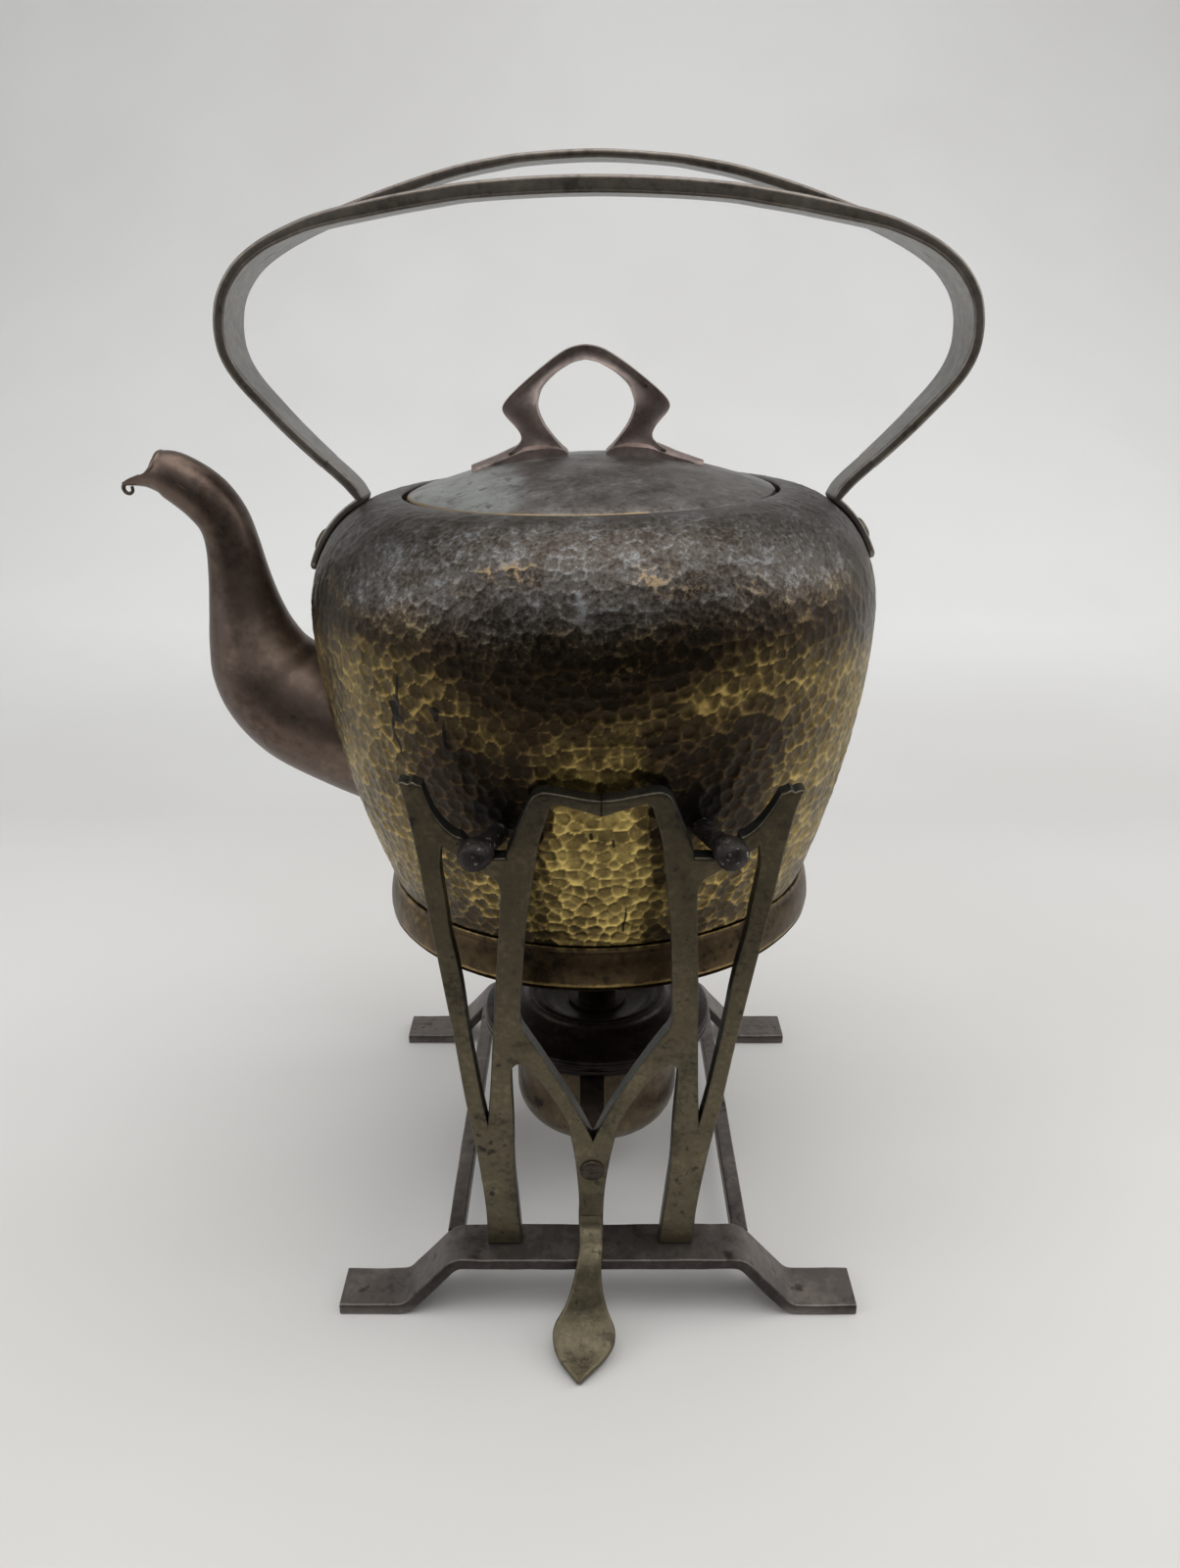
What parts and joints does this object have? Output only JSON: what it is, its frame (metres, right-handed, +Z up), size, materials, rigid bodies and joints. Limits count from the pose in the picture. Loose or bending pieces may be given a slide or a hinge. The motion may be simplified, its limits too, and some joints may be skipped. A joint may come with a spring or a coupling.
{
  "type": "spirit kettle on stand",
  "caption": "Hammered brass kettle with a fixed hoop handle, curved spout and lift-off lid, hung by side pegs in an open arched stand above a lift-out spirit burner.",
  "frame": {"origin": "on the table, under the middle of the whole object's box", "axes": "+Z up, spout towards -X, front frame towards -Y"},
  "size_m": [0.2656, 0.2304, 0.3489],
  "materials": {
    "hammered_brass": "hand-hammered brass, brown in the hollows, worn bright on the ridges",
    "pan_brass": "spun brass, dark brown tarnish with a worn lower edge",
    "spout_copper": "smooth dark copper-brown tarnish",
    "handle_bronze": "dark bronze strap with worn edges",
    "lid_brass": "grey-green mottled tarnish",
    "knob_copper": "copper-brown, rubbed",
    "peg_iron": "dark iron with silvery wear",
    "frame_brass": "olive-brown cast brass",
    "strip_copper": "purple-brown copper strip",
    "burner_bronze": "near-black bronze",
    "bowl_brass": "brown tarnished brass",
    "rivet_brass": "tarnished rivets",
    "wick_cotton": "braided cotton, sooty on top"
  },
  "bodies": {
    "stand": {"front_plate": "frame_brass", "rear_plate": "frame_brass", "front_tail": "frame_brass", "rear_tail": "frame_brass", "front_bracket": "strip_copper", "rear_bracket": "strip_copper", "left_rail": "strip_copper", "right_rail": "strip_copper", "burner_holder": "burner_bronze", "holder_rivets": "rivet_brass"},
    "pour_pegs": {"pour_pegs": "peg_iron"},
    "kettle": {"kettle_body": "hammered_brass", "base_pan": "pan_brass", "spout": "spout_copper", "handle": "handle_bronze", "handle_rivets": "rivet_brass", "rest_pegs": "peg_iron"},
    "lid": {"lid": "lid_brass", "lid_collar": "lid_brass", "lid_knob": "knob_copper"},
    "burner": {"burner_reservoir": "bowl_brass", "burner_top": "burner_bronze"},
    "wick_unit": {"wick_tube": "burner_bronze", "wick": "wick_cotton"}
  },
  "joints": [
    {"name": "kettle_lift", "type": "slide", "parent": "stand", "child": "pour_pegs", "axis": [0, 0, 1], "range_m": [0, 0.085]},
    {"name": "kettle_tilt", "type": "hinge", "parent": "pour_pegs", "child": "kettle", "pos_m": [-0.00938, 0, 0.1693], "axis": [0, -1, 0], "range_deg": [0, 50]},
    {"name": "lid_lift", "type": "slide", "parent": "kettle", "child": "lid", "axis": [-0.0209, 0, 0.9998], "range_m": [0, 0.03]},
    {"name": "burner_lift", "type": "slide", "parent": "stand", "child": "burner", "axis": [0, 0, 1], "range_m": [0, 0.02]},
    {"name": "wick_lift", "type": "slide", "parent": "burner", "child": "wick_unit", "axis": [0, 0, 1], "range_m": [0, 0.008]}
  ]
}
